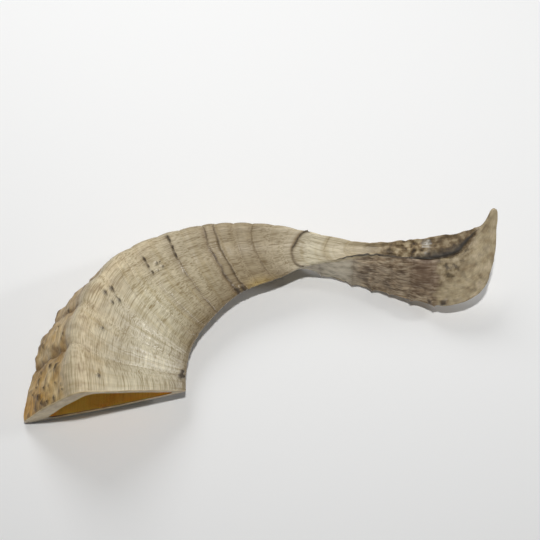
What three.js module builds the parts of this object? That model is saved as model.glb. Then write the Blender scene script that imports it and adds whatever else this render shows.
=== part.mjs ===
// A polished sheep horn lying on its side, in millimetres, with +Z up.
// The horn is one hollow solid. Three keels run from the sawn base to the tip: the upper keel, the
// lower keel that the horn lies on, and the inner keel along the inside of the curl. Every cross
// section is a rounded triangle between them, and growth rings swell and notch its surface. The
// cavity left by the bone core opens at the sawn base.

import * as THREE from "three";

const { smoothstep, lerp } = THREE.MathUtils;

// Cross sections from the sawn base to the tip: where each keel passes, and how far the front face,
// between the upper and the lower keel, bulges out.
const SECTIONS = [
  { upper: [-78, -74.5, 38], lower: [-105, -73.5, 0], inner: [-36.5, -62, 8], bulge: 3 },
  { upper: [-80, -51, 38.5], lower: [-102.5, -48.5, 0], inner: [-36.5, -56.5, 8.5], bulge: 2 },
  { upper: [-76.5, -33, 38], lower: [-95.5, -27, 0], inner: [-36, -50.5, 9], bulge: 2 },
  { upper: [-67.5, -15.5, 36.5], lower: [-82.5, -11, 0], inner: [-34.5, -43.5, 10], bulge: 2 },
  { upper: [-57, -5.5, 34.5], lower: [-67.5, 0, 0], inner: [-28.5, -33, 11], bulge: 2 },
  { upper: [-28, 6.5, 30], lower: [-36.5, 13.5, 0], inner: [-13.5, -18, 13], bulge: 3 },
  { upper: [0.5, 9, 26.5], lower: [-1, 10, 0], inner: [5, -10.5, 14.5], bulge: 3.5 },
  { upper: [16, 7, 24.5], lower: [16.5, 1, 0], inner: [15, -6, 16], bulge: 4 },
  { upper: [29.5, 4.5, 23], lower: [30.5, -4.8, 0], inner: [28.5, -5, 19.5], bulge: 5 },
  { upper: [44, 2, 23], lower: [45, -9.8, 1], inner: [44.5, -3, 21], bulge: 7 },
  { upper: [75, 4, 25], lower: [80, -22.4, 10], inner: [76, -3.7, 24], bulge: 8 },
  { upper: [86, 5.5, 27], lower: [94, -16.9, 15], inner: [85.5, -0.5, 26], bulge: 7 },
  { upper: [93, 7.5, 30], lower: [98.5, -3.9, 22], inner: [92, 4, 29.5], bulge: 5 },
  { upper: [96.5, 13, 35.5], lower: [100, 12.5, 34.5], inner: [97.5, 11.5, 36.5], bulge: 2.5 },
];
const TIP_ROUNDING = 5; // length over which the blunt tip closes

// Shape of a section, as shares of a side's length.
const SHOULDERS = [0.3, 0.18, 0.18]; // from the upper, lower and inner keel to the end of its rounding
const UNDER_BULGE = 0.05; // of the face between the lower and the inner keel
const SIDE_BULGE = 0.05; // of the face between the inner and the upper keel

// Growth rings: notches at these distances along the horn from the sawn base. The saw cut runs
// through the first knot, whose other notch lay just before it.
const NOTCHES = [
  -4, 17, 33, 45, 62, 74, 83, 92, 98, 105, 113, 122, 131, 142, 156, 165, 173, 181, 191,
];
const KNOT_HEIGHT = 3.2; // swelling between two notches near the base
const RING_HEIGHT = 1.2; // and beyond the knots
const NOTCH_SHARE = 0.5; // of that height lies below the smooth section, as the notch
const KNOTS_FADE = [20, 75]; // where knots give way to rings
const KEEL_SHARE = 0.4; // of a swelling that shows on the upper keel
const FACE_SHARE = 0.12; // of a swelling that shows on the polished side face

// A furrow that takes the place of the inner keel near the tip. Its widths are in places round the
// section.
const FURROW = { depth: 2.2, underWidth: 0.45, sideWidth: 1, start: [165, 187], end: [203, 217] };

// The cavity of the bone core.
const CAVITY_DEPTH = 95;
const CAVITY_SHARE = 0.76; // of the section at the sawn base; the rest is wall
const CAVITY_LEAN = 0.35; // of the way from the middle of the section to the inner keel, where the wall is thin

// Mesh density.
const OUTER_RINGS = 112;
const CAVITY_RINGS = 16;
const STEPS_PER_SPAN = 3;

// Places round a section, counted in control points: four for each keel and the face after it.
const PLACES = { upperKeel: 0.5, lowerKeel: 4.5, innerKeel: 8.5, all: 12 };
const AROUND = PLACES.all * STEPS_PER_SPAN;

const railOf = (points) =>
  new THREE.CatmullRomCurve3(points.map((p) => new THREE.Vector3(...p)), false, "centripetal");
const keelRails = ["upper", "lower", "inner"].map((keel) => railOf(SECTIONS.map((s) => s[keel])));
const bulgeRail = railOf(SECTIONS.map((s, k) => [s.bulge, k, 0]));
const centreOf = (points) =>
  points.reduce((sum, p) => sum.addScaledVector(p, 1 / points.length), new THREE.Vector3());
const centreLine = railOf(
  SECTIONS.map((s) => centreOf([s.upper, s.lower, s.inner].map((p) => new THREE.Vector3(...p)))),
);
const LENGTH = centreLine.getLength();

// The control polygon of the section at t, in order round the horn.
function controlPolygon(t) {
  const keels = keelRails.map((rail) => rail.getPoint(t));
  const facing = keels[1].clone().sub(keels[0]).cross(keels[2].clone().sub(keels[0])).normalize();
  const frontBulge = bulgeRail.getPoint(t).x;
  const faces = keels.map((keel, i) => {
    const next = keels[(i + 1) % 3];
    const along = next.clone().sub(keel);
    const rise = [frontBulge, UNDER_BULGE * along.length(), SIDE_BULGE * along.length()][i];
    const outward = along.normalize().cross(facing);
    const at = (share, part) => keel.clone().lerp(next, share).addScaledVector(outward, rise * part);
    return [at(SHOULDERS[i], 0.6), at(0.5, 1.1), at(1 - SHOULDERS[(i + 1) % 3], 0.6)];
  });
  // A keel's control point stands out so far that the curve passes through the keel itself.
  return keels.flatMap((keel, i) => {
    const shoulders = faces[i][0].clone().lerp(faces[(i + 2) % 3][2], 0.5);
    return [keel.clone().addScaledVector(keel.clone().sub(shoulders), 1 / 3), ...faces[i]];
  });
}

// A point on the closed quadratic B-spline of a control polygon.
function splinePoint(points, place) {
  const i = Math.floor(place);
  const f = place - i;
  const point = (k) => points[(k + points.length) % points.length];
  return new THREE.Vector3()
    .addScaledVector(point(i - 1), 0.5 * (1 - f) * (1 - f))
    .addScaledVector(point(i), 0.5 + f * (1 - f))
    .addScaledVector(point(i + 1), 0.5 * f * f);
}

// The swelling between two notches: above the smooth section at its crest, below it in the notches.
function swelling(growth) {
  const after = NOTCHES.findIndex((notch) => notch > growth);
  if (after < 0) return 0;
  const before = NOTCHES[after - 1];
  const share = (growth - before) / (NOTCHES[after] - before);
  const height = lerp(KNOT_HEIGHT, RING_HEIGHT, smoothstep(growth, ...KNOTS_FADE));
  return height * (Math.sin(Math.PI * share) ** 0.6 - NOTCH_SHARE);
}

// How much of a swelling shows at a place: all of it on the front face, less on the other two.
function ringShare(place) {
  const { upperKeel, lowerKeel, innerKeel, all } = PLACES;
  const turned = place < upperKeel ? place + all : place;
  if (turned < lowerKeel) return lerp(KEEL_SHARE, 1, smoothstep(turned, upperKeel, upperKeel + 1));
  if (turned < innerKeel) return lerp(1, FACE_SHARE, smoothstep(turned, lowerKeel, lowerKeel + 3));
  return lerp(FACE_SHARE, KEEL_SHARE, smoothstep(turned, all + upperKeel - 1.5, all + upperKeel));
}

const hump = (x, width) => Math.exp(-((x / width) ** 2));

// How far the surface stands out from the smooth section.
function relief(growth, place) {
  const along = smoothstep(growth, ...FURROW.start) * (1 - smoothstep(growth, ...FURROW.end));
  const fromInner = place - PLACES.innerKeel;
  const width = fromInner < 0 ? FURROW.underWidth : FURROW.sideWidth;
  const furrow = FURROW.depth * hump(fromInner, width) * along;
  return swelling(growth) * ringShare(place) - furrow;
}

// One ring of points round the horn, at a distance along it.
function ringAt(growth) {
  const polygon = controlPolygon(centreLine.getUtoTmapping(growth / LENGTH));
  const centre = centreOf(polygon);
  const toTip = Math.min(1, (LENGTH - growth) / TIP_ROUNDING);
  const rounding = Math.sqrt(1 - (1 - toTip) ** 2);
  return Array.from({ length: AROUND }, (_, j) => {
    const place = (PLACES.upperKeel + j / STEPS_PER_SPAN) % PLACES.all;
    const outward = splinePoint(polygon, place).sub(centre);
    outward.setLength(outward.length() + relief(growth, place));
    return centre.clone().addScaledVector(outward, rounding);
  });
}

// The middle of the cavity, at a distance along the horn.
function cavityMiddle(growth) {
  const t = centreLine.getUtoTmapping(growth / LENGTH);
  return centreOf(controlPolygon(t)).lerp(keelRails[2].getPoint(t), CAVITY_LEAN);
}

// The rings of the whole surface in one run: from the end of the cavity out to the sawn base, and
// from there along the outside to the tip.
function surfaceRings() {
  const rings = [];
  for (let i = CAVITY_RINGS - 1; i >= 0; i -= 1) {
    const depth = Math.sin(((Math.PI / 2) * i) / CAVITY_RINGS);
    const share = CAVITY_SHARE * Math.sqrt(1 - depth * depth);
    const middle = cavityMiddle(depth * CAVITY_DEPTH);
    rings.push(ringAt(depth * CAVITY_DEPTH).map((point) => point.lerp(middle, 1 - share)));
  }
  for (let i = 0; i < OUTER_RINGS; i += 1) rings.push(ringAt((i / OUTER_RINGS) * LENGTH));
  return rings;
}

// A closed surface over a run of rings, with a point at each end.
function skinOver(rings, firstPoint, lastPoint) {
  const vertices = [...rings.flat(), firstPoint, lastPoint];
  const [first, last] = [vertices.length - 2, vertices.length - 1];
  const faces = [];
  const ringStart = (i) => i * AROUND;
  for (let j = 0; j < AROUND; j += 1) {
    const k = (j + 1) % AROUND;
    faces.push(first, j, k);
    for (let i = 0; i < rings.length - 1; i += 1) {
      const [near, far] = [ringStart(i), ringStart(i + 1)];
      faces.push(near + j, far + j, near + k, near + k, far + j, far + k);
    }
    faces.push(last, ringStart(rings.length - 1) + k, ringStart(rings.length - 1) + j);
  }
  return new THREE.BufferGeometry().setFromPoints(vertices).setIndex(faces);
}

const geometry = skinOver(surfaceRings(), cavityMiddle(CAVITY_DEPTH), centreLine.getPoint(1));

// The origin is the middle of the horn's footprint, on the surface that it lies on.
geometry.computeBoundingBox();
const { min, max } = geometry.boundingBox;
geometry.translate(-(min.x + max.x) / 2, -(min.y + max.y) / 2, -min.z);
geometry.computeVertexNormals();

const polishedHorn = new THREE.MeshStandardMaterial({ color: 0xb3a284, roughness: 0.35, metalness: 0 });
const horn = new THREE.Mesh(geometry, polishedHorn);
horn.name = "horn";

const sheepHorn = new THREE.Group();
sheepHorn.add(horn);

export default sheepHorn;
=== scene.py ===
# %% [markdown]
# # A polished sheep horn
# A sheep's horn is a hollow sheath of keratin that grew, ring after ring, round a core of bone. This one
# was sawn off at the base, emptied and polished, and it lies on its side. The lesson rolls a flat sheet up
# into the horn, raises the growth rings on it, and then paints the keratin with procedural materials.

# %% Load the frame
import itertools
import math
from collections import namedtuple

import bmesh
import bpy
import numpy as np
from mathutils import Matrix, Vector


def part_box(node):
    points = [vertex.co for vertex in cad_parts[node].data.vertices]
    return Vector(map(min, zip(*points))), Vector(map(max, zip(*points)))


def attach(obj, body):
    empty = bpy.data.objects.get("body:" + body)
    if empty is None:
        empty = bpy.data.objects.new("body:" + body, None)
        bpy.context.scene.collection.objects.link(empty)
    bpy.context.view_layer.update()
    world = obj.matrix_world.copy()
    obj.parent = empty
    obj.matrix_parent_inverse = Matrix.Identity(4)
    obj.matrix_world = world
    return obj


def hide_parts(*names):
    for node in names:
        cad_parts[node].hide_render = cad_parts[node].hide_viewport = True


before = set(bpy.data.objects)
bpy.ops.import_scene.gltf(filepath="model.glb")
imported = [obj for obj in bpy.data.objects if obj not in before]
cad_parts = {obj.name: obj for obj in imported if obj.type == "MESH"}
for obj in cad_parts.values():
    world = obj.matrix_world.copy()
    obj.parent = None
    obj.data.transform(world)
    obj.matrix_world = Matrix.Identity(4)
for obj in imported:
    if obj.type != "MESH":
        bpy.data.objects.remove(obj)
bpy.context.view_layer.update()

print("solids in the frame:", list(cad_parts))

# %% [markdown]
# ## The three keels
# Every cross section of the horn is a rounded triangle. Its corners run along the horn as three keels: the
# upper keel, the lower keel that the horn lies on, and the inner keel on the inside of the curl. The form
# could be sculpted by hand, but three smooth curves through a few points say it better: move one point and
# the horn bends. The points are the solid's own, in millimetres, from the sawn base to the tip.

# %% Keels and the centre line
MM = 0.001

Section = namedtuple("Section", "upper lower inner bulge")
SECTIONS = [
    Section((-78, -74.5, 38), (-105, -73.5, 0), (-36.5, -62, 8), 3),
    Section((-80, -51, 38.5), (-102.5, -48.5, 0), (-36.5, -56.5, 8.5), 2),
    Section((-76.5, -33, 38), (-95.5, -27, 0), (-36, -50.5, 9), 2),
    Section((-67.5, -15.5, 36.5), (-82.5, -11, 0), (-34.5, -43.5, 10), 2),
    Section((-57, -5.5, 34.5), (-67.5, 0, 0), (-28.5, -33, 11), 2),
    Section((-28, 6.5, 30), (-36.5, 13.5, 0), (-13.5, -18, 13), 3),
    Section((0.5, 9, 26.5), (-1, 10, 0), (5, -10.5, 14.5), 3.5),
    Section((16, 7, 24.5), (16.5, 1, 0), (15, -6, 16), 4),
    Section((29.5, 4.5, 23), (30.5, -4.8, 0), (28.5, -5, 19.5), 5),
    Section((44, 2, 23), (45, -9.8, 1), (44.5, -3, 21), 7),
    Section((75, 4, 25), (80, -22.4, 10), (76, -3.7, 24), 8),
    Section((86, 5.5, 27), (94, -16.9, 15), (85.5, -0.5, 26), 7),
    Section((93, 7.5, 30), (98.5, -3.9, 22), (92, 4, 29.5), 5),
    Section((96.5, 13, 35.5), (100, 12.5, 34.5), (97.5, 11.5, 36.5), 2.5),
]
KEELS = [np.array([getattr(s, keel) for s in SECTIONS], float) for keel in ("upper", "lower", "inner")]
BULGES = np.array([(s.bulge, k, 0) for k, s in enumerate(SECTIONS)], float)


def run_through(points, t):
    """Points at t, from 0 to 1, on a smooth curve through a few points (a centripetal Catmull-Rom curve)."""
    p = np.vstack([2 * points[0] - points[1], points, 2 * points[-1] - points[-2]])
    steps = np.sqrt(np.linalg.norm(np.diff(p, axis=0), axis=1))
    place = np.clip(t, 0, 1) * (len(points) - 1)
    i = np.minimum(place.astype(int), len(points) - 2)
    f = (place - i)[..., None]
    p0, p1, p2, p3 = (p[i + k] for k in range(4))
    d0, d1, d2 = (steps[i + k][..., None] for k in range(3))
    leave = d1 * ((p1 - p0) / d0 - (p2 - p0) / (d0 + d1) + (p2 - p1) / d1)
    arrive = d1 * ((p2 - p1) / d1 - (p3 - p1) / (d1 + d2) + (p3 - p2) / d2)
    squared = 3 * (p2 - p1) - 2 * leave - arrive
    cubed = 2 * (p1 - p2) + leave + arrive
    return p1 + f * leave + f**2 * squared + f**3 * cubed


curve_t = np.linspace(0, 1, 201)
centre_steps = np.linalg.norm(np.diff(run_through(sum(KEELS) / 3, curve_t), axis=0), axis=1)
curve_growth = np.concatenate([[0], np.cumsum(centre_steps)])
LENGTH = curve_growth[-1]
print(f"the horn is {LENGTH:.1f} mm long along its middle")

# %% [markdown]
# ## Growth lines
# A horn grows at its base, so each line on it was once its edge. On the polished side face these lines
# sag towards the base between the upper and the inner keel. Each line below is given by its distance from
# the sawn base at three places: on the upper keel, in the middle of the side face and on the inner keel.
# If the rows of the mesh follow these lines, every ledge and crack falls on a row and stays crisp.

# %% Growth lines of the side face
UPPER_KEEL, LOWER_KEEL, INNER_KEEL, WHOLE_TURN = 0.5, 4.5, 8.5, 12  # places round a section

# A line's crack has a depth, its ledge and its beads have a height, and dark is the dirt in it, from 0 to 1.
RingLine = namedtuple("RingLine", "upper middle inner crack ledge bead dark")
RING_LINES = [
    RingLine(16.5, 13, 21, 0.12, 0.05, 0, 0.15),
    RingLine(24, 20, 27, 0.05, 0.22, 0.12, 0.05),
    RingLine(38, 35, 41, 0.04, 0.2, 0.12, 0.0),
    RingLine(51.5, 45.3, 50, 0.12, 0.45, 0.18, 0.12),
    RingLine(56, 52.4, 60, 0.1, 0.45, 0.18, 0.08),
    RingLine(63.5, 60.2, 66, 0.15, 0.15, 0.08, 0.3),
    RingLine(76.3, 73.4, 75.5, 0.3, 0.2, 0, 0.55),
    RingLine(92, 89.4, 92.3, 0.45, 0.4, 0, 1.0),
    RingLine(95.5, 93.9, 99, 0.35, -0.3, 0, 0.6),
    RingLine(106, 103, 107, 0.08, 0.1, 0, 0.1),
    RingLine(112.5, 110.2, 118, 0.3, 0.2, 0, 0.3),
    RingLine(136, 128.3, 135, 0.7, 0.9, 0, 0.85),
    RingLine(147, 143.7, 148, 0.15, 0.3, 0, 0.25),
]


def smooth_step(x, low, high):
    """0 below low, 1 above high, and a smooth rise between."""
    f = np.clip((x - low) / (high - low), 0, 1)
    return f * f * (3 - 2 * f)


def hump(x, width):
    return np.exp(-((x / width) ** 2))


def growth_of(ring, place):
    """How far along the horn a growth line lies at a place; where it meets the upper keel is its name."""
    names = [0, *(line.upper for line in RING_LINES), LENGTH]
    sag_middle = np.interp(ring, names, [0, *(line.middle - line.upper for line in RING_LINES), 0])
    sag_inner = np.interp(ring, names, [0, *(line.inner - line.upper for line in RING_LINES), 0])
    f = np.clip((place - INNER_KEEL) / 4, 0, 1)
    on_side = sag_inner * (1 - f) * (1 - 2 * f) + sag_middle * 4 * f * (1 - f)
    on_under = sag_inner * smooth_step(place, LOWER_KEEL, INNER_KEEL)
    return ring + np.where(place > INNER_KEEL, on_side, on_under)


print(len(RING_LINES), "growth lines cross the side face")

# %% [markdown]
# ## A sheet to roll up
# The surface is one piece of sheet: its rows start at the end of the cavity, come out to the sawn rim, turn
# over it and run along the outside to the tip. Rows are packed closer at the growth lines and at the tip,
# and columns closer on the broad side face, so that the mesh has its points where the horn has its detail.

# %% Rows and columns of the sheet
CAVITY_DEPTH = 95
CAVITY_SHARE = 0.76  # of the section at the sawn base; the rest is wall
CAVITY_LEAN = 0.35  # of the way from the middle of the section to the inner keel, where the wall is thin
RIM_ROUNDING = 0.5  # of the rim's two edges
RIM_ROUNDING_SHARE = 0.016  # the same rounding as a share of the section
ROWS_CAVITY, ROWS_OUTSIDE = 24, 432
COLUMNS_FRONT, COLUMNS_UNDER, COLUMNS_SIDE = 60, 54, 93
CAVITY, RIM, OUTSIDE = range(3)  # zones, in the order of the materials


def sheet_rows():
    """For each row: the growth line it follows, the share of the section it takes, and its zone."""
    into = np.sin(np.linspace(math.pi / 2, 0, ROWS_CAVITY))
    cavity = (RIM_ROUNDING + into * (CAVITY_DEPTH - RIM_ROUNDING), CAVITY_SHARE * np.sqrt(1 - into**2))
    turn = np.linspace(0, math.pi / 2, 5)
    small, large = 1 - np.cos(turn), 1 - np.sin(turn)
    inner_edge = (RIM_ROUNDING * large[1:], CAVITY_SHARE + RIM_ROUNDING_SHARE * small[1:])
    flat = np.linspace(CAVITY_SHARE + RIM_ROUNDING_SHARE, 1 - RIM_ROUNDING_SHARE, 7)[1:]
    outer_edge = (RIM_ROUNDING * small[1:], 1 - RIM_ROUNDING_SHARE * large[1:])
    rim = (np.concatenate([inner_edge[0], 0 * flat, outer_edge[0]]),
           np.concatenate([inner_edge[1], flat, outer_edge[1]]))
    spot = np.linspace(RIM_ROUNDING, LENGTH, 20001)
    closeness = 1 + 3 * smooth_step(spot, LENGTH - 7, LENGTH)
    for line in RING_LINES:
        closeness += 2 * hump(spot - line.upper, 0.8)
    packed = np.cumsum(closeness) - closeness[0]
    outside = np.interp(np.linspace(0, packed[-1], ROWS_OUTSIDE + 1), packed, spot)[1:]
    zones = [CAVITY] * len(into) + [RIM] * len(rim[0]) + [OUTSIDE] * len(outside)
    ring = np.concatenate([cavity[0], rim[0], outside])
    share = np.concatenate([cavity[1], rim[1], np.ones(len(outside))])
    return ring[:, None], share[:, None], np.array(zones)


ring, share, zone = sheet_rows()
place = np.concatenate([
    np.linspace(UPPER_KEEL, LOWER_KEEL, COLUMNS_FRONT, endpoint=False),
    np.linspace(LOWER_KEEL, INNER_KEEL, COLUMNS_UNDER, endpoint=False),
    np.linspace(INNER_KEEL, UPPER_KEEL + WHOLE_TURN, COLUMNS_SIDE),
])[None, :]
rows, columns = ring.shape[0], place.shape[1]
outside = (zone == OUTSIDE)[:, None]
print(f"a sheet of {rows} rows and {columns} columns")

# %% [markdown]
# ## The smooth horn
# Each point of the sheet gets its place on the rounded triangle of its section. A closed quadratic B-spline
# over twelve control points rounds the triangle: four for each keel and the face after it.

# %% Roll the sheet up
SHOULDERS = (0.3, 0.18, 0.18)  # from the upper, lower and inner keel to the end of its rounding, as a share
FACE_BULGE = 0.05  # of the under face and the side face, as a share of their length
TIP_ROUNDING = 5  # length over which the tip closes
TIP_BLUNTNESS = 3  # 2 would close it like a ball, and more is blunter


def unit(vectors):
    return vectors / np.maximum(np.linalg.norm(vectors, axis=-1, keepdims=True), 1e-9)


def control_points(t):
    """The twelve control points of the section at t."""
    keels = [run_through(points, t) for points in KEELS]
    facing = unit(np.cross(keels[1] - keels[0], keels[2] - keels[0]))
    faces = []
    for k, keel in enumerate(keels):
        along = keels[(k + 1) % 3] - keel
        reach = np.linalg.norm(along, axis=-1, keepdims=True)
        rise = run_through(BULGES, t)[..., :1] if k == 0 else FACE_BULGE * reach
        outward = np.cross(unit(along), facing) * rise
        spans = ((SHOULDERS[k], 0.6), (0.5, 1.1), (1 - SHOULDERS[(k + 1) % 3], 0.6))
        faces.append([keel + along * part + outward * lift for part, lift in spans])
    points = []
    for k, keel in enumerate(keels):
        shoulders = (faces[k][0] + faces[k - 1][2]) / 2
        points += [keel + (keel - shoulders) / 3, *faces[k]]
    return np.stack(points, axis=-2)


def on_spline(points, place):
    """Points of the closed quadratic B-spline over the control points, one column for each place."""
    i = np.floor(place[0]).astype(int)
    f = (place[0] - i)[:, None]
    column = np.arange(len(i))
    before, here, after = (points[:, column, (i + k) % WHOLE_TURN] for k in (-1, 0, 1))
    return 0.5 * (1 - f) ** 2 * before + (0.5 + f * (1 - f)) * here + 0.5 * f**2 * after


growth = growth_of(ring, place)
growth_t = np.interp(growth, curve_growth, curve_t)
sections = control_points(growth_t)
centre = sections.mean(axis=-2)
outward = on_spline(sections, place) - centre
base_reach = np.linalg.norm(outward[-ROWS_OUTSIDE], axis=-1).max()
print(f"the smooth section at the base reaches {base_reach:.1f} mm out")

# %% [markdown]
# ## Knots and furrow
# Near the base the front face carries coarse knots, parted by deep notches. Towards the tip they shrink to
# rings. On the polished side face they are almost gone. Near the tip a furrow replaces the inner keel. The
# solid has the same knots and furrow, so both agree.

# %% Raise the knots and the furrow
NOTCHES = [-4, 17, 33, 45, 62, 74, 83, 92, 98, 105, 113, 122, 131, 142, 156, 165, 173, 181, 191]
KNOT_HEIGHT, RING_HEIGHT = 3.2, 1.2  # between two notches, near the base and further on
NOTCH_SHARE = 0.5  # of that height lies below the smooth section
KEEL_SHARE, FACE_SHARE = 0.4, 0.12  # of a swelling that shows on the upper keel and on the side face
KNOTS_FADE = (20, 75)  # where knots give way to rings
FURROW_DEPTH, FURROW_UNDER, FURROW_SIDE = 2.2, 0.45, 1  # its depth, and its widths on two faces in places
FURROW_START, FURROW_END = (165, 187), (203, 217)

from_upper = (place - UPPER_KEEL + 6) % WHOLE_TURN - 6  # above 0 on the front face
from_inner = place - INNER_KEEL


def crest_of(ring):
    """1 on the crest of a knot or ring and 0 in its notches."""
    after = np.clip(np.searchsorted(NOTCHES, ring, side="right"), 1, len(NOTCHES) - 1)
    before, past = np.array(NOTCHES)[after - 1], np.array(NOTCHES)[after]
    crest = np.sin(math.pi * np.clip((ring - before) / (past - before), 0, 1)) ** 0.6
    return np.where(ring < NOTCHES[-1], crest, NOTCH_SHARE)


height = KNOT_HEIGHT + (RING_HEIGHT - KNOT_HEIGHT) * smooth_step(ring, *KNOTS_FADE)
swelling = height * (crest_of(ring) - NOTCH_SHARE)
front_share = KEEL_SHARE + (1 - KEEL_SHARE) * smooth_step(place, UPPER_KEEL, UPPER_KEEL + 1)
under_share = 1 - (1 - FACE_SHARE) * smooth_step(place, LOWER_KEEL, LOWER_KEEL + 3)
near_keel = smooth_step(place, WHOLE_TURN - 1, WHOLE_TURN + UPPER_KEEL)
side_share = FACE_SHARE + (KEEL_SHARE - FACE_SHARE) * near_keel
ring_share = np.select([place < LOWER_KEEL, place < INNER_KEEL], [front_share, under_share], side_share)
furrow_along = smooth_step(growth, *FURROW_START) * (1 - smooth_step(growth, *FURROW_END))
furrow = FURROW_DEPTH * hump(from_inner, np.where(from_inner < 0, FURROW_UNDER, FURROW_SIDE)) * furrow_along
relief = swelling * ring_share - furrow

to_tip = np.clip((LENGTH - growth) / TIP_ROUNDING, 0, 1)
tip = np.where(outside, (1 - (1 - to_tip) ** TIP_BLUNTNESS) ** (1 / TIP_BLUNTNESS), 1)
reach = np.linalg.norm(outward, axis=-1)
horn_form = centre + outward * ((1 + relief / reach) * tip)[..., None]
cavity_middle = centre + CAVITY_LEAN * (run_through(KEELS[2], growth_t) - centre)
horn_form += (cavity_middle - horn_form) * (1 - share)[..., None]
horn_form[:, -1] = horn_form[:, 0]
print("the horn measures", np.round(np.ptp(horn_form.reshape(-1, 3), axis=0), 1), "mm")

# %% [markdown]
# ## Coordinates that grow with the horn
# Fibres run along the horn and lines run round it, so patterns need coordinates that bend with it. Two of
# them go round like a circle as long as the section's outline, and the third runs along the horn. A circle
# has no seam, so a pattern on these coordinates has none either.

# %% Coordinates round and along the horn
around = np.linalg.norm(np.diff(horn_form, axis=1), axis=-1)
outline = np.maximum(around.sum(axis=1, keepdims=True), 1e-6)
turned = 2 * math.pi * np.concatenate([np.zeros((rows, 1)), np.cumsum(around, axis=1)], axis=1) / outline
outline_radius = outline / (2 * math.pi)
grown = np.stack([
    outline_radius * np.cos(turned),
    outline_radius * np.sin(turned),
    np.broadcast_to(ring, turned.shape),
], axis=-1)


def lumps(points, seed):
    """Smooth random lumps about one unit across, from -1 to 1, the same on every run."""
    heights = np.random.default_rng(seed).uniform(-1, 1, 4096)
    cell = np.floor(points).astype(np.int64)
    f = points - cell
    f = f * f * (3 - 2 * f)
    total = 0
    for corner in itertools.product((0, 1), repeat=3):
        x, y, z = np.moveaxis(cell + corner, -1, 0)
        weight = np.prod(np.where(corner, f, 1 - f), axis=-1)
        total = total + weight * heights[(x * 73856093 ^ y * 19349663 ^ z * 83492791) & 4095]
    return total


def stretched(across, along):
    """The horn's own coordinates for lumps of a size across the fibres and along them, in mm."""
    return grown / np.array([across, across, along])


print(f"the outline is {outline[-ROWS_OUTSIDE, 0]:.0f} mm round at the base")

# %% [markdown]
# ## Regions of the surface
# The same horn looks different from face to face: spongy ochre knots in front, a cream ridge, a khaki side
# face, a twisted brown blade with a groove painted black as its shade, and a tan cap at the tip. Each region
# is a mark from 0 to 1 on the mesh points. The relief uses the marks here, and the materials read them later.

# %% Mark the regions
marks = {}
fray = lumps(horn_form / 5, 1)
fine_fray = lumps(horn_form / 1.2, 2)

marks["front"] = smooth_step(from_upper + 0.25 * fray, 0.1, 1.0) * (place < 6) * (
    1 - smooth_step(place, LOWER_KEEL, LOWER_KEEL + 0.5))
marks["ridge"] = hump(from_upper + 0.15 + 0.35 * fray + 0.15 * fine_fray, 0.75) * (
    1 - smooth_step(growth + 8 * fray, 45, 85))
marks["crest"] = hump(from_upper, 0.9)
# painted shade along the inner keel, where the side face turns under towards the floor
marks["inner_edge"] = hump(from_inner, np.where(from_inner < 0, 1.5, 0.9)) * (
    1 - smooth_step(growth, 118, 132))

CAP_PLACES = [0.5, 2.5, 4.5, 5.1, 6.1, 6.5, 6.8, 7.5, 8.5, 10.5, 12.5]
CAP_EDGE = [216, 204, 194, 193.5, 192, 199, 205, 211, 214.5, 218.5, 216]
past_edge = growth - np.interp(place, CAP_PLACES, CAP_EDGE)
marks["cap"] = smooth_step(past_edge + 3 * fray + 1.5 * fine_fray, -3, 3)
not_cap = 1 - marks["cap"]
marks["blade"] = smooth_step(growth, 128, 142) * not_cap * (
    smooth_step(place, LOWER_KEEL - 0.4, LOWER_KEEL + 0.1) * (1 - smooth_step(place, 8.1, 8.5)))
marks["strip"] = smooth_step(growth + 6 * fray, 158, 178) * not_cap * smooth_step(place, 8.2, 8.6)

GROOVE_GROWTH = [148, 157, 165, 173, 180, 186, 194, 205, 212, 217]
GROOVE_PLACE = [8.6, 9.0, 8.7, 8.4, 8.2, 8.6, 9.0, 9.2, 10, 11.5]
GROOVE_WIDTH = [0.2, 0.35, 0.4, 0.4, 0.6, 1.5, 1.6, 1.3, 1.0, 0.4]  # mm to each side
mm_per_place = np.where(from_inner < 0, 5.5, 2)  # round the blade
from_groove = (place - np.interp(growth, GROOVE_GROWTH, GROOVE_PLACE)) * mm_per_place
groove_width = np.interp(growth, GROOVE_GROWTH, GROOVE_WIDTH)
# the groove: it deepens the relief, and the material paints the shade inside it near-black
marks["groove_and_shade"] = hump(from_groove + 0.4 * fine_fray, groove_width) * (
    smooth_step(growth, 146, 154) * (1 - smooth_step(growth, 214, 219)) * (place > 6))
print("regions:", ", ".join(marks))

# %% [markdown]
# ## Stains, painted shade and painted light
# Colour also changes within a region: painted shade in the valley beside the ridge, a honey tint on the
# inner edge, painted shade in the notches and sunken lumps of the knots and the blade, amber at the lower
# corner of the base, pale lobes where the blade begins, a brown and a mossy zone before the cap, a white
# patch on the strip, a stain at the lower corner of the rim, and in the cavity painted light on the lower
# wall, which looks wet at its lip. These are marks too, most of them with frayed edges.

# %% Mark the stains, the painted shade and the painted light
# painted shade in the shallow valley beside the ridge near the base
marks["ridge_valley_shade"] = hump(from_upper + 1.5 + 0.3 * fray, 0.8) * (
    smooth_step(growth, 2, 10) * (1 - smooth_step(growth + 6 * fray, 28, 50)))
marks["honey"] = hump(from_inner - 0.2, 0.5) * hump(growth - 104 + 3 * fray, 9)
marks["honey"] = np.maximum(marks["honey"], 0.7 * hump(from_inner + 0.1, 0.2) * (growth < 125))
coarse_lumps, fine_lumps = lumps(horn_form / 5, 3), lumps(horn_form / 2.2, 4)  # of the spongy knots
# painted shade where the spongy lumps of the relief sink
sponge_hollow = np.maximum(marks["front"], 0.6 * marks["ridge"]) * (
    np.clip(-1.3 * fine_lumps - 0.8 * coarse_lumps - 0.2, 0, 1))
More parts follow.
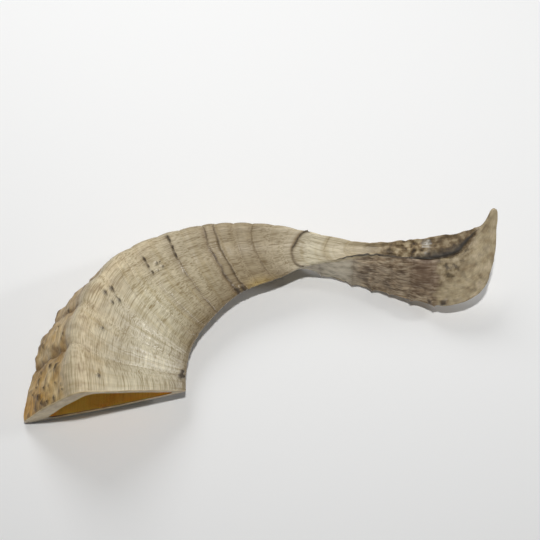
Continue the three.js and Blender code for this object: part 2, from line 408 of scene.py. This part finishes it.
# painted shade in the notches between knots and between the blade's scallops
marks["hollow"] = (1 - crest_of(ring)) ** 2 * np.maximum(marks["front"], marks["blade"])
marks["hollow"] = np.maximum(marks["hollow"], sponge_hollow)
marks["amber"] = marks["front"] * smooth_step(place, 2, 4) * (1 - smooth_step(growth + 4 * fray, 3, 18))
marks["lobes"] = marks["blade"] * (1 - smooth_step(growth + 4 * fray, 150, 162))
marks["brown"] = marks["blade"] * hump(growth - 188 + 3 * fray, 8) * smooth_step(place + 0.3 * fray, 5.0, 6.6)
marks["moss"] = marks["blade"] * smooth_step(growth + 1.5 * fine_fray, 192, 195) * smooth_step(place, 6, 6.6)
marks["white"] = hump(growth - 190 + 3 * fine_fray, 1.6) * hump(place - 10.9 + 1.2 * fine_fray, 0.8)
marks["corner"] = hump(place - LOWER_KEEL - 0.3, 0.45)
# painted light: the lower wall of the cavity, brighter where light falls on it and shines through
marks["lower_wall_glow"] = smooth_step(place, 4.2, 5) * (1 - smooth_step(place, 7.6, 8.4))
marks["wet"] = hump(place - 6.3, 0.5) * (1 - smooth_step(growth, 1, 6))
print("stains: dusk, honey, hollow, amber, lobes, brown, moss, white, corner, golden, wet")

# %% [markdown]
# ## Pits and chips
# The saw and the polisher opened small pores in the knots near the base, and dirt stayed in short chips
# beside the ridge. They are few and each has its place, so they are listed: distance along the horn, place
# round it and radius. A pit is a soft bowl pressed into the sheet, and a chip is a bowl drawn out round the
# horn, as far as its last number says.

# %% Mark the pits
PITS = [
    (11.8, 1.6, 1.6, 1), (12.7, 2.2, 1.3, 1), (12.5, 2.9, 1, 1), (10.5, 2.9, 1.5, 1), (4.3, 2.7, 1.5, 1),
    (1.9, 1.7, 1.2, 1), (1.7, 2.2, 0.9, 1), (2.2, 2.5, 1.1, 1), (6.1, 11.9, 0.8, 1), (7.1, 3.4, 0.9, 1),
    (8.8, 3.2, 0.9, 1), (6.2, 2.3, 1, 1), (6.2, 1.6, 0.8, 1), (3.4, 1.2, 0.8, 1), (23, 3.3, 1.2, 1),
    (26.5, 2.2, 1, 1), (33.4, 2.4, 1.2, 1), (22.4, 1.4, 1, 1), (18.4, 9, 1.6, 1), (22.9, 9, 1.1, 1),
    (194, 5.1, 1.2, 1), (188.5, 5.2, 1.3, 1), (65.4, 11.67, 0.6, 1.4), (67, 11.68, 0.5, 1),
    (66.5, 11.5, 0.5, 1.5), (64, 11.45, 0.45, 1), (41.7, 12.02, 0.6, 3), (39.3, 0.1, 0.6, 2),
    (40.2, 11.75, 0.5, 3), (38, 11.85, 0.5, 2), (26, 11.85, 0.6, 1.5), (62.2, 0, 0.4, 4),
    (61.4, 11.75, 0.4, 3), (61.2, 11.55, 0.35, 3), (76.3, 0.25, 0.4, 4), (75.4, 11.95, 0.4, 4),
    (74.6, 11.65, 0.35, 4), (92.3, 9, 0.6, 4), (96, 8.9, 0.5, 3),
]
outer = np.flatnonzero(zone == OUTSIDE)
marks["pits"] = np.zeros((rows, columns))
for along, round_it, radius, drawn_out in PITS:
    column = np.abs((place[0] - round_it + 6) % WHOLE_TURN - 6).argmin()
    row = outer[np.abs(growth[outer, column] - along).argmin()]
    apart = np.linalg.norm(horn_form - horn_form[row, column], axis=-1)
    apart_along = (drawn_out - 1) * (ring - ring[row])
    apart = np.hypot(apart, apart_along) / drawn_out
    bowl = 1 - smooth_step(apart + 0.6 * radius * fine_fray, 0.4 * radius, 1.3 * radius)
    marks["pits"] = np.maximum(marks["pits"], bowl * outside)
print(len(PITS), "pits and chips")

# %% [markdown]
# ## Cracks, ledges and fine relief
# Where growth paused, the older sheath towards the tip overlaps the younger one like a finger nail: a thin
# crack of uneven width, and a ledge behind it, with beads on its edge that catch the light. Finer relief
# follows: lumps on the knots, faint lines on the side face, scallops and ripples on the blade and a ragged
# strip above the groove.

# %% Raise cracks and ledges, and press in the pits
LEDGE_LENGTH = 4
on_side = smooth_step(place, INNER_KEEL - 0.3, INNER_KEEL + 0.2) * (1 - marks["front"])
marks["cracks"] = np.zeros((rows, columns))
marks["halo"] = np.zeros((rows, columns))
ledges = np.zeros((rows, columns))
for k, line in enumerate(RING_LINES):
    waver = 0.5 * lumps(stretched(4, 500), 30 + k) + 0.25 * lumps(stretched(1.2, 500), 50 + k)
    past = ring - line.upper + waver
    patchy = np.clip(0.7 + 0.7 * lumps(stretched(4, 60), 10 + k), 0, 1)
    crack_width = 0.25 + 0.6 * line.crack + 0.2 * lumps(stretched(2, 500), 90 + k)
    crack = hump(past, crack_width) * patchy * on_side
    ledge = line.ledge * np.exp(-np.maximum(past, 0) / LEDGE_LENGTH) * (past > -0.05)
    beaded = np.clip(0.3 + 1.5 * lumps(stretched(1.6, 500), 70 + k), 0, 1)
    beads = line.bead * hump(past - 0.25, 0.3) * beaded
    ledges += on_side * (ledge + beads) - line.crack * crack
    halo = hump(past + 0.5, 1.4) * (0.4 + 0.6 * patchy) * on_side
    marks["cracks"] = np.maximum(marks["cracks"], line.dark * crack)
    marks["halo"] = np.maximum(marks["halo"], line.dark * halo)

sponge = np.maximum(marks["front"], 0.5 * marks["ridge"]) * (1 - 0.6 * smooth_step(growth, 60, 110))
knots = sponge * (0.6 * coarse_lumps + 0.5 * fine_lumps)
faint_lines = 0.06 * on_side * lumps(stretched(40, 1.5), 5)
lower_edge = smooth_step(growth, 128, 138) * not_cap * smooth_step(place, 3.2, 4.4) * (
    1 - 0.85 * smooth_step(place, 4.8, 7.5)) * (place < INNER_KEEL)
scallops = 2 * lower_edge * (crest_of(ring + 1.2 * fray) - NOTCH_SHARE)
ripples = marks["blade"] * (0.4 * lumps(stretched(4, 4), 6) + 0.2 * lumps(stretched(1.2, 8), 7))
ragged = marks["strip"] * (0.45 * lumps(stretched(1.3, 5), 8) + 0.4 * lumps(horn_form / 1.8, 9))
detail = ledges + knots + faint_lines + scallops + ripples + ragged + 0.35 * marks["cap"]
detail -= 0.9 * marks["pits"] + 0.9 * marks["groove_and_shade"]
detail *= outside * smooth_step(ring, RIM_ROUNDING, RIM_ROUNDING + 1.5) * smooth_step(LENGTH - growth, 0, 4)


def sheet_normals(points):
    """The outward direction of the sheet at each of its points."""
    closed = points[:, :-1]
    along = np.gradient(closed, axis=0)
    across = np.roll(closed, -1, axis=1) - np.roll(closed, 1, axis=1)
    normals = unit(np.cross(across, along))
    return np.concatenate([normals, normals[:, :1]], axis=1)


horn_points = horn_form + sheet_normals(horn_form) * detail[..., None]
horn_points[:, -1] = horn_points[:, 0]
print(f"fine relief from {detail.min():.2f} to {detail.max():.2f} mm")

# %% [markdown]
# ## The horn as a mesh
# `create_grid` makes the flat sheet. Each of its points knows its row and column from where it lies, so it
# can move to its place on the horn. Merging doubles then sews the seam along the upper keel and closes the
# sheet to a point at both ends, and the normals are made to face out.

# %% Roll the grid and sew it
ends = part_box("horn")
low, high = np.array(ends[0]), np.array(ends[1])
form_low, form_high = (f(horn_form.reshape(-1, 3), axis=0) * MM for f in (np.min, np.max))
shift = np.array([*((low + high) / 2 - (form_low + form_high) / 2)[:2], low[2] - form_low[2]])

bm = bmesh.new()
bmesh.ops.create_grid(bm, x_segments=columns - 1, y_segments=rows - 1, size=0.5)
sheet_index = bm.verts.layers.int.new("sheet_index")
for vert in bm.verts:
    column = round((vert.co.x + 0.5) * (columns - 1))
    row = round((vert.co.y + 0.5) * (rows - 1))
    vert[sheet_index] = row * columns + column
    vert.co = horn_points[row, column] * MM + shift
for face in bm.faces:
    face.material_index = int(zone[max(vert[sheet_index] for vert in face.verts) // columns])
    face.smooth = True
bmesh.ops.remove_doubles(bm, verts=bm.verts, dist=1e-7)
bmesh.ops.recalc_face_normals(bm, faces=bm.faces)
open_edges = sum(not edge.is_manifold for edge in bm.edges)

mesh = bpy.data.meshes.new("polished_horn")
bm.to_mesh(mesh)
bm.free()
horn = bpy.data.objects.new("polished_horn", mesh)
bpy.context.scene.collection.objects.link(horn)
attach(horn, "root")
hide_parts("horn")
print(f"{len(mesh.polygons)} faces, {open_edges} open edges, moved by {np.round(shift / MM, 2)} mm")

# %% [markdown]
# ## Marks on the mesh
# The materials read the marks and the horn's own coordinates as attributes of the mesh points. Sewing the
# sheet changed the order of its points, so each one kept its number on the sheet, and the values follow it.

# %% Store the marks
marks["along"] = np.clip(growth / LENGTH, 0, 1)
kept = np.empty(len(mesh.vertices), np.int32)
mesh.attributes["sheet_index"].data.foreach_get("value", kept)
for name, strength in marks.items():
    values = np.broadcast_to(strength, (rows, columns)).ravel()[kept]
    mesh.attributes.new(name, "FLOAT", "POINT").data.foreach_set("value", values.astype(np.float32))
values = grown.reshape(-1, 3)[kept].astype(np.float32)
mesh.attributes.new("grown", "FLOAT_VECTOR", "POINT").data.foreach_set("vector", values.ravel())
mesh.attributes.remove(mesh.attributes["sheet_index"])
print("attributes:", ", ".join([*marks, "grown"]))

# %% [markdown]
# ## Small tools for materials
# A material is a graph of nodes. These helpers place a node and plug its inputs in one line, so that the
# cells below read like a recipe.

# %% Node helpers
def plug(tree, socket, value):
    """Link an input to an output, or set its value."""
    if isinstance(value, bpy.types.NodeSocket):
        tree.links.new(value, socket)
    elif socket.type == "RGBA":
        socket.default_value = (*value, 1)
    else:
        socket.default_value = value


def put(tree, kind, inputs=(), **settings):
    made = tree.nodes.new("ShaderNode" + kind)
    for name, value in settings.items():
        setattr(made, name, value)
    for key, value in dict(inputs).items():
        plug(tree, made.inputs[key], value)
    return made


def mark(tree, name):
    return put(tree, "Attribute", attribute_name=name).outputs["Fac"]


def sums(tree, operation, first, second):
    return put(tree, "Math", {0: first, 1: second}, operation=operation, use_clamp=True).outputs[0]


def tint(tree, share, first, second, how="MIX"):
    """The first colour, with a share of the second over it."""
    return put(tree, "Mix", {0: share, 6: first, 7: second}, data_type="RGBA", blend_type=how).outputs[2]


def ramp(tree, value, *stops):
    """A colour for each value: stops of a place from 0 to 1 and a colour, or a grey as one number."""
    made = put(tree, "ValToRGB", {0: value})
    points = made.color_ramp.elements
    while len(points) < len(stops):
        points.new(0.5)
    for point, (position, colour) in zip(points, stops):
        point.position = position
        point.color = (*np.broadcast_to(colour, 3), 1)
    return made.outputs["Color"]


def grain(tree, across, along, detail=2.0):
    """Noise on the horn's own coordinates, with grains of a size across the fibres and along them, in mm."""
    grown_at = put(tree, "Attribute", attribute_name="grown").outputs["Vector"]
    size = (1 / across, 1 / across, 1 / along)
    at = put(tree, "VectorMath", {0: grown_at, 1: size}, operation="MULTIPLY").outputs[0]
    return put(tree, "TexNoise", {"Vector": at, "Scale": 1.0, "Detail": detail}).outputs["Fac"]


print("node helpers ready")

# %% [markdown]
# ## Keratin fibres and clouds
# Keratin is a bundle of fine tubes that run along the horn, and pigment lies in it as soft clouds. The
# outside, the sawn rim and the cavity all show both, so each is a node group that every material can place.

# %% Groups for fibres and clouds
def new_group(name, inputs, outputs):
    group = bpy.data.node_groups.new(name, "ShaderNodeTree")
    for label, default in inputs:
        socket = group.interface.new_socket(label, in_out="INPUT", socket_type="NodeSocketFloat")
        socket.default_value = default
    for label in outputs:
        group.interface.new_socket(label, in_out="OUTPUT", socket_type="NodeSocketFloat")
    return group, group.nodes.new("NodeGroupInput").outputs, group.nodes.new("NodeGroupOutput").inputs


fibres, given, result = new_group("keratin fibres", [("Bundles", 0.4)], ["Fibre", "Height"])
fine = ramp(fibres, grain(fibres, 0.42, 15, 2.0), (0.36, 0.0), (0.64, 1.0))
bundles = ramp(fibres, grain(fibres, 1.8, 40, 2.0), (0.3, 0.0), (0.7, 1.0))
fibres.links.new(tint(fibres, given["Bundles"], fine, bundles), result["Fibre"])
fibres.links.new(fine, result["Height"])

clouds, given, result = new_group("pigment clouds", [("Size", 8.0)], ["Cloud", "Speckle"])
place_at = put(clouds, "TexCoord").outputs["Object"]
per_metre = put(clouds, "Math", {0: 1000.0, 1: given["Size"]}, operation="DIVIDE").outputs[0]
cloud = put(clouds, "TexNoise", {"Vector": place_at, "Scale": per_metre, "Detail": 3.0})
clouds.links.new(ramp(clouds, cloud.outputs["Fac"], (0.32, 0.0), (0.68, 1.0)), result["Cloud"])
speckle = put(clouds, "TexNoise", {"Vector": place_at, "Scale": 1100.0, "Detail": 2.0})
clouds.links.new(ramp(clouds, speckle.outputs["Fac"], (0.35, 0.0), (0.7, 1.0)), result["Speckle"])
print("groups:", fibres.name, "and", clouds.name)

# %% [markdown]
# ## The polished side face
# The side face is khaki, and its colour changes along the horn, so a ramp over its length comes first.
# Clouds go over it as a stain, then painted shade in the valley beside the ridge and along the inner keel,
# where the face turns under, and then the honey tint: each is a colour that a mark lays over the one before.

# %% Colours of the side face
def effect(tree, group, **inputs):
    made = tree.nodes.new("ShaderNodeGroup")
    made.node_tree = group
    for name, value in inputs.items():
        plug(tree, made.inputs[name], value)
    return made.outputs


def new_material(name):
    material = bpy.data.materials.new(name)
    material.use_nodes = True
    return material, material.node_tree, material.node_tree.nodes["Principled BSDF"]


def stain(tree, name, strength, base, colour):
    """The base colour with another over it, where the mesh has a mark, and at most by the strength."""
    return tint(tree, sums(tree, "MULTIPLY", mark(tree, name), strength), base, colour)


KERATIN_IOR = 1.54
outside_horn, tree, skin = new_material("polished horn")
fibre = effect(tree, fibres)
big = effect(tree, clouds, Size=14.0)["Cloud"]
small = effect(tree, clouds, Size=4.0)
along = mark(tree, "along")

side = ramp(tree, along, (0.0, (0.70, 0.63, 0.46)), (0.06, (0.75, 0.69, 0.52)), (0.22, (0.68, 0.62, 0.45)),
            (0.27, (0.57, 0.50, 0.35)), (0.34, (0.49, 0.42, 0.29)), (0.41, (0.40, 0.325, 0.21)),
            (0.48, (0.35, 0.28, 0.175)), (0.55, (0.55, 0.475, 0.34)), (0.6, (0.68, 0.62, 0.46)),
            (0.66, (0.49, 0.415, 0.275)), (0.74, (0.34, 0.26, 0.16)), (1.0, (0.32, 0.25, 0.16)))
side = tint(tree, sums(tree, "MULTIPLY", big, 0.3), side, (0.42, 0.34, 0.21))
# painted shade in the valley beside the ridge
side = stain(tree, "ridge_valley_shade", 0.4, side, (0.30, 0.24, 0.15))
# painted shade along the inner keel
side = stain(tree, "inner_edge", 0.9, side, (0.19, 0.135, 0.07))
side = stain(tree, "honey", 0.85, side, (0.52, 0.38, 0.15))
print("the side face has", len(tree.nodes), "nodes")

# %% [markdown]
# ## Knots and ridge
# The knots of the front face are spongy keratin: ochre at the base and greyer further on, with painted
# shade darkening their notches and sunken lumps. The ridge above them was polished through to cream keratin.
# Fine fibres and faint growth lines then multiply the colour, since both are only lighter or darker keratin.

# %% Colours of the knots and the ridge
medium = effect(tree, clouds, Size=7.0)["Cloud"]
ochre = ramp(tree, medium, (0.0, (0.46, 0.27, 0.07)), (0.5, (0.58, 0.39, 0.15)), (1.0, (0.70, 0.54, 0.29)))
grey_knots = ramp(tree, medium, (0.0, (0.44, 0.32, 0.18)), (1.0, (0.64, 0.51, 0.33)))
front = tint(tree, ramp(tree, along, (0.05, 0.0), (0.2, 1.0)), ochre, grey_knots)
smudges = ramp(tree, small["Cloud"], (0.0, (0.5, 0.44, 0.38)), (0.4, 1.0))
front = tint(tree, 0.4, front, smudges, "MULTIPLY")
front = stain(tree, "amber", 0.85, front, (0.58, 0.31, 0.06))
# painted shade in the hollows of the knots
front = stain(tree, "hollow", 0.8, front, (0.15, 0.085, 0.035))
colour = tint(tree, mark(tree, "front"), side, front)
cream = ramp(tree, small["Cloud"], (0.0, (0.38, 0.28, 0.16)), (0.4, (0.56, 0.45, 0.28)),
             (1.0, (0.64, 0.54, 0.36)))
# painted shade in the hollows of the ridge
cream = stain(tree, "hollow", 0.7, cream, (0.26, 0.17, 0.08))
colour = stain(tree, "ridge", 0.8, colour, cream)
threads = ramp(tree, fibre["Fibre"], (0.0, (0.50, 0.43, 0.31)), (0.5, 0.96), (1.0, 1.2))
colour = tint(tree, 1.0, colour, threads, "MULTIPLY")
lines = ramp(tree, grain(tree, 26, 2.0, 3.0), (0.3, (0.86, 0.82, 0.73)), (0.5, 0.99), (0.7, 1.06))
colour = tint(tree, 1.0, colour, lines, "MULTIPLY")
print("with the knots and the ridge", len(tree.nodes))

# %% [markdown]
# ## Blade and cap
# Towards the tip the polisher cut less. The twisted blade shows brown fibres that wave over its ripples,
# with pale lobes at its start and a mossy zone at its end. The strip above the groove stayed ragged and dark.
# The cap is tan and faintly mottled.

# %% Colours of the blade and the cap
hair = grain(tree, 0.6, 6, 3)
blade = ramp(tree, hair, (0.33, (0.12, 0.08, 0.045)), (0.5, (0.29, 0.215, 0.135)), (0.68, (0.47, 0.39, 0.28)))
mottle = grain(tree, 2.5, 3.5, 3)
blotches = ramp(tree, mottle, (0.36, (0.5, 0.44, 0.38)), (0.5, 1.0), (0.64, 1.4))
blade = tint(tree, 0.9, blade, blotches, "MULTIPLY")
lobes = ramp(tree, mottle, (0.33, (0.36, 0.31, 0.22)), (0.5, (0.62, 0.55, 0.42)), (0.7, (0.72, 0.66, 0.53)))
blade = stain(tree, "lobes", 0.85, blade, lobes)
# painted shade in the notches of the blade
blade = stain(tree, "hollow", 0.5, blade, (0.10, 0.06, 0.03))
blade = stain(tree, "brown", 0.65, blade, (0.11, 0.06, 0.035))
patches = effect(tree, clouds, Size=2.5)["Cloud"]
moss = ramp(tree, patches, (0.1, (0.08, 0.055, 0.025)), (0.5, (0.24, 0.18, 0.095)), (1.0, (0.42, 0.34, 0.22)))
blade = tint(tree, mark(tree, "moss"), blade, moss)
colour = tint(tree, mark(tree, "blade"), colour, blade)
shreds = tint(tree, 0.5, grain(tree, 1.1, 4, 3), patches)
strip = ramp(tree, shreds, (0.25, (0.05, 0.03, 0.014)), (0.5, (0.21, 0.145, 0.07)),
             (0.75, (0.47, 0.38, 0.24)))
strip = tint(tree, ramp(tree, along, (0.8, 0.0), (0.84, 0.45)), strip, (0.10, 0.065, 0.03))
strip = tint(tree, mark(tree, "white"), strip, (0.62, 0.60, 0.54))
colour = tint(tree, mark(tree, "strip"), colour, strip)
cap = ramp(tree, small["Cloud"], (0.0, (0.27, 0.20, 0.11)), (0.6, (0.42, 0.34, 0.21)),
           (1.0, (0.48, 0.39, 0.26)))
cap = tint(tree, 0.8, cap, ramp(tree, patches, (0.0, 0.7), (0.5, 1.0), (1.0, 1.12)), "MULTIPLY")
cap = tint(tree, 0.7, cap, ramp(tree, hair, (0.3, 0.75), (0.7, 1.15)), "MULTIPLY")
colour = tint(tree, mark(tree, "cap"), colour, cap)
print("with the blade and the cap", len(tree.nodes))

# %% [markdown]
# ## Dirt, painted shade and polish
# Dirt fills cracks and pits, and stains the keratin beside a crack brown. The groove is painted near-black as
# shade. The polish is sharp on the side face near the base and duller on the knots, the ridge, the blade, the
# ragged strip and the cap. The finest fibres are too thin for the mesh, so they are a bump.

# %% Dirt, painted shade and polish
dirt = (0.04, 0.026, 0.016)
colour = stain(tree, "halo", 0.7, colour, (0.20, 0.13, 0.065))
colour = stain(tree, "cracks", 0.9, colour, dirt)
colour = stain(tree, "pits", 0.9, colour, dirt)
# painted shade: the groove is near-black
colour = stain(tree, "groove_and_shade", 0.96, colour, (0.03, 0.025, 0.021))

dull = sums(tree, "MAXIMUM", mark(tree, "strip"), mark(tree, "pits"))
for rough_region in ("front", "crest", "blade", "cap"):
    dull = sums(tree, "MAXIMUM", dull, sums(tree, "MULTIPLY", mark(tree, rough_region), 0.7))
dull = sums(tree, "MAXIMUM", dull, ramp(tree, along, (0.3, 0.0), (0.5, 0.5)))
polish = ramp(tree, dull, (0.0, 0.22), (1.0, 0.75))
surface = tint(tree, 0.3, fibre["Height"], small["Speckle"])
bump = put(tree, "Bump", {"Height": surface, "Strength": 0.25, "Distance": 0.0002})
plug(tree, skin.inputs["Base Color"], colour)
plug(tree, skin.inputs["Roughness"], polish)
plug(tree, skin.inputs["Normal"], bump.outputs["Normal"])
skin.inputs["IOR"].default_value = KERATIN_IOR
print("material:", outside_horn.name)

# %% [markdown]
# ## The sawn rim and the cavity
# The saw cut shows pale keratin with a dark stain at the lower corner. Inside, light shines through the
# thin wall; the smooth cavity is amber with that glow painted into its colour, and its lower wall is painted
# golden as lit. Some subsurface scattering lets the light spread in the wall. A bump wrinkles the
# wet-looking lip.

# %% Materials of the rim and the cavity
sawn_rim, tree, skin = new_material("sawn rim")
cloud = effect(tree, clouds, Size=5.0)
colour = ramp(tree, cloud["Cloud"], (0.0, (0.48, 0.36, 0.19)), (1.0, (0.70, 0.57, 0.35)))
colour = stain(tree, "corner", 0.85, colour, (0.16, 0.14, 0.115))
plug(tree, skin.inputs["Base Color"], colour)
plug(tree, skin.inputs["Roughness"], ramp(tree, cloud["Speckle"], (0.0, 0.3), (1.0, 0.5)))
skin.inputs["IOR"].default_value = KERATIN_IOR

cavity_wall, tree, skin = new_material("cavity wall")
cloud = effect(tree, clouds, Size=9.0)
fibre = effect(tree, fibres)
# amber brightened as painted glow of light through the wall, and golden painted light on the lower wall
colour = tint(tree, mark(tree, "lower_wall_glow"), (0.92, 0.55, 0.12), (1.0, 0.82, 0.28))
colour = tint(tree, sums(tree, "MULTIPLY", cloud["Cloud"], 0.35), colour, (0.75, 0.40, 0.07))
colour = tint(tree, 0.4, colour, ramp(tree, fibre["Fibre"], (0.0, 0.7), (1.0, 1.2)), "MULTIPLY")
wrinkles = tint(tree, mark(tree, "wet"), (0, 0, 0), cloud["Speckle"])
bump = put(tree, "Bump", {"Height": wrinkles, "Strength": 1.0, "Distance": 0.0006})
plug(tree, skin.inputs["Base Color"], colour)
plug(tree, skin.inputs["Roughness"], ramp(tree, cloud["Speckle"], (0.0, 0.12), (1.0, 0.25)))
plug(tree, skin.inputs["Normal"], bump.outputs["Normal"])
skin.inputs["IOR"].default_value = KERATIN_IOR
skin.inputs["Subsurface Weight"].default_value = 0.6
skin.inputs["Subsurface Radius"].default_value = (1, 0.45, 0.1)
skin.inputs["Subsurface Scale"].default_value = 0.004

for material in (cavity_wall, sawn_rim, outside_horn):
    mesh.materials.append(material)
print("materials on the horn:", ", ".join(m.name for m in mesh.materials))

# %% [markdown]
# ## Floor
# The horn lies on a plain pale floor, one large face that belongs to the stage and not to the horn.

# %% Floor
floor_mesh = bpy.data.meshes.new("floor")
bm = bmesh.new()
bmesh.ops.create_grid(bm, x_segments=1, y_segments=1, size=3)
bm.to_mesh(floor_mesh)
bm.free()
floor = bpy.data.objects.new("floor", floor_mesh)
bpy.context.scene.collection.objects.link(floor)
pale_floor, tree, skin = new_material("pale floor")
skin.inputs["Base Color"].default_value = (0.86, 0.865, 0.87, 1)
skin.inputs["Roughness"].default_value = 0.6
floor_mesh.materials.append(pale_floor)
print("floor", floor.dimensions[:2])

# %% [markdown]
# ## Light
# A lamp high above the horn, a little in front, draws the pale shadow beside the blade. It aims far behind
# the horn, so the floor darkens towards the front. A broad window behind softens the shadow, and a low window
# on the right glints on the ledges.

# %% Light
def soft_light(name, place, aim, size, watts, colour=(1, 1, 1)):
    lamp = bpy.data.lights.new(name, "AREA")
    lamp.shape, lamp.size, lamp.energy, lamp.color = "DISK", size, watts, colour
    light = bpy.data.objects.new(name, lamp)
    light.location = place
    x, y, z = np.array(aim) - np.array(place)
    light.rotation_euler = (math.atan2(np.hypot(x, y), -z), 0, math.atan2(-x, y))
    bpy.context.scene.collection.objects.link(light)


soft_light("lamp", (0.02, -0.1, 0.78), (0, 1.5, 0), 0.05, 6.1, (1, 0.99, 0.965))
soft_light("window", (-0.25, 0.6, 0.6), (0, 0.2, 0), 0.5, 2.5)
soft_light("low window", (0.75, 0.1, 0.5), (0, 0, 0), 0.1, 1.2)
world = bpy.data.worlds.new("studio")
world.use_nodes = True
world.node_tree.nodes["Background"].inputs["Color"].default_value = (0.95, 0.97, 1.0, 1)
world.node_tree.nodes["Background"].inputs["Strength"].default_value = 0.11
bpy.context.scene.world = world
bpy.context.scene.view_settings.view_transform = "Standard"
print("three soft lights and a pale studio")

# %% [markdown]
# ## Camera
# The camera looks down at a steep angle, from the side of the sawn base. Its focal length is given in pixels
# of the picture, since that is what a picture can tell about a lens.

# %% Camera
VIEW_ELEVATION = math.radians(64)
VIEW_DISTANCE = 0.65
FOCAL_PIXELS, IMAGE_PIXELS = 1430, 540
SENSOR_MM = 36

camera_data = bpy.data.cameras.new("camera")
camera_data.sensor_width = SENSOR_MM
camera_data.lens = SENSOR_MM * FOCAL_PIXELS / IMAGE_PIXELS
camera = bpy.data.objects.new("camera", camera_data)
back = np.array([0, -math.cos(VIEW_ELEVATION), math.sin(VIEW_ELEVATION)])
camera.location = shift + VIEW_DISTANCE * back
camera.rotation_euler = (math.pi / 2 - VIEW_ELEVATION, 0, 0)
bpy.context.scene.collection.objects.link(camera)
bpy.context.scene.camera = camera
print("camera at", np.round(camera.location, 3))
